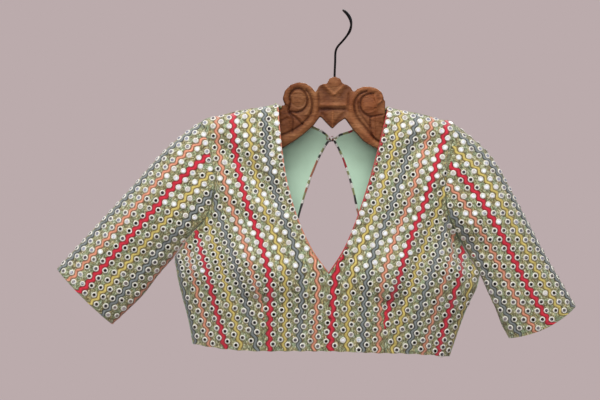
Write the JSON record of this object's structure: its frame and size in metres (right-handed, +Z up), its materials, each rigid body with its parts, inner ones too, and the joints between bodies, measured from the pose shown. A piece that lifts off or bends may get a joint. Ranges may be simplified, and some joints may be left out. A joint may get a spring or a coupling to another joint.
{
  "type": "mirror-work cropped blouse on a carved wooden hanger",
  "caption": "Cropped V-neck blouse of mirror-work cloth with elbow sleeves, a keyhole back and mint lining, hung on a carved wooden hanger with an iron hook.",
  "frame": {"origin": "underside of the hook's crown, where a rail carries the hanger", "axes": "+X to the viewer's right across the blouse, +Y from the front of the blouse towards its back, +Z up along the pull of the hook"},
  "size_m": [0.778, 0.0676, 0.5213],
  "materials": {
    "embroidered_cloth": "olive-green and gold embroidered cloth with wavy stripes and small mirrors",
    "lining": "soft mint-green lining",
    "binding": "rolled multicolour binding",
    "piping_salmon": "thin salmon corded edge",
    "piping_red": "thin red corded edge",
    "carved_wood": "oiled carved hardwood",
    "black_iron": "blackened iron wire"
  },
  "bodies": {
    "root": {"front": "embroidered_cloth", "back_left": "embroidered_cloth", "back_right": "embroidered_cloth", "sleeve_left": "embroidered_cloth", "sleeve_right": "embroidered_cloth", "back_lining_left": "lining", "back_lining_right": "lining", "back_edge_left": "binding", "back_edge_right": "binding", "front_edge_left": "piping_salmon", "front_edge_right": "piping_red", "neck_fastener": "black_iron", "hanger_wood": "carved_wood", "hook": "black_iron"}
  },
  "joints": []
}
